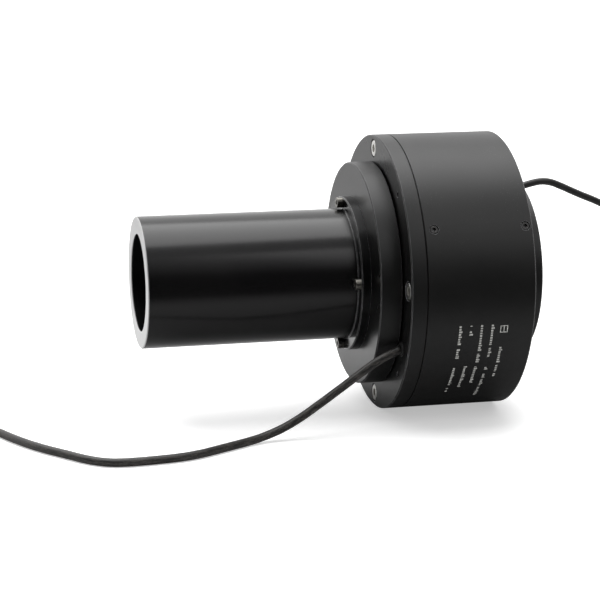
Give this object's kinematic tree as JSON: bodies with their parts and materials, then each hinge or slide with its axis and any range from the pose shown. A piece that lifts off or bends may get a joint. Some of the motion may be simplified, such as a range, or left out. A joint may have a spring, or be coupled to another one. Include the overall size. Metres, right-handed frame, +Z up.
{
  "type": "through-bore electrical slip ring",
  "caption": "Round electrical slip ring with a clear bore, a long extension tube on its rotor, a bolted mounting flange, a black cylindrical housing and two flying leads.",
  "frame": {"origin": "centre of the mounting flange's front face, on the bore's axis", "axes": "+X along the bore from the tube's free end to the rear, +Z up as the housing lies on a bench, -Y the side with the small screws"},
  "size_m": [0.4685, 0.1584, 0.144],
  "materials": {
    "black_anodised": "satin black anodised",
    "tube_anodised": "smooth black anodised, glossier than the housing",
    "bare_aluminium": "machined",
    "black_steel": "black oxide steel",
    "chrome_steel": "bright plated steel",
    "bearing_steel": "ground and polished",
    "spring_steel": "phosphated spring steel",
    "ring_brass": "turned brass, gold plated",
    "gold_alloy": "drawn wire, gold alloy",
    "insulator": "moulded insulating plastic",
    "laminate": "glass laminate",
    "cage_nylon": "moulded nylon",
    "seal_rubber": "matte rubber",
    "lead_jacket": "dark grey-brown jacket, semi-matte",
    "wire_insulation": "coloured wire insulation",
    "marking_ink": "printed grey ink on the housing",
    "potting_resin": "set black resin"
  },
  "bodies": {
    "stator": {"block_screws": "chrome_steel", "brush_block_1": "laminate", "brush_block_2": "laminate", "brush_frame": "bare_aluminium", "brush_wires_1": "gold_alloy", "brush_wires_2": "gold_alloy", "cover_oring": "seal_rubber", "cover_screws": "black_steel", "flange_oring": "seal_rubber", "flange_screws": "chrome_steel", "frame_screws": "black_steel", "front_circlip": "spring_steel", "front_flange": "black_anodised", "front_outer_race": "bearing_steel", "front_seal": "seal_rubber", "housing_shell": "black_anodised", "link_harness": "lead_jacket", "rear_circlip": "spring_steel", "rear_cover": "black_anodised", "rear_outer_race": "bearing_steel", "rear_seal": "seal_rubber", "stator_grommet": "seal_rubber", "stator_harness": "lead_jacket", "stator_lead": "lead_jacket", "stator_lead_tails": "wire_insulation", "terminal_pins_1": "gold_alloy", "terminal_pins_2": "gold_alloy"},
    "rotor": {"extension_tube": "tube_anodised", "tube_screws": "chrome_steel", "rotor_hub": "black_anodised", "hub_screws": "black_steel", "rotor_shaft": "black_anodised", "core_sleeve": "insulator", "barrier_discs": "insulator", "stack_lock_ring": "bare_aluminium", "rear_spacer": "bare_aluminium", "rear_collar": "black_anodised", "set_screws": "black_steel", "rotor_wires": "wire_insulation", "rotor_potting": "potting_resin", "rotor_grommet": "seal_rubber", "rotor_lead": "lead_jacket", "rotor_lead_tails": "wire_insulation", "front_inner_race": "bearing_steel", "rear_inner_race": "bearing_steel", "contact_ring_1": "ring_brass", "contact_ring_2": "ring_brass", "contact_ring_3": "ring_brass", "contact_ring_4": "ring_brass", "contact_ring_5": "ring_brass", "contact_ring_6": "ring_brass"},
    "front_cage": {"front_balls": "bearing_steel", "front_cage": "cage_nylon"},
    "rear_cage": {"rear_balls": "bearing_steel", "rear_cage": "cage_nylon"}
  },
  "joints": [
    {"name": "rotor_spin", "type": "hinge", "parent": "stator", "child": "rotor", "pos_m": [0, 0, 0], "axis": [1, 0, 0], "continuous": true},
    {"name": "front_cage_spin", "type": "hinge", "parent": "stator", "child": "front_cage", "pos_m": [0.008, 0, 0], "axis": [1, 0, 0], "continuous": true},
    {"name": "rear_cage_spin", "type": "hinge", "parent": "stator", "child": "rear_cage", "pos_m": [0.057, 0, 0], "axis": [1, 0, 0], "continuous": true}
  ],
  "couplings": [
    {"joint": "front_cage_spin", "follows": "rotor_spin", "ratio": 0.46232},
    {"joint": "rear_cage_spin", "follows": "rotor_spin", "ratio": 0.46232}
  ]
}
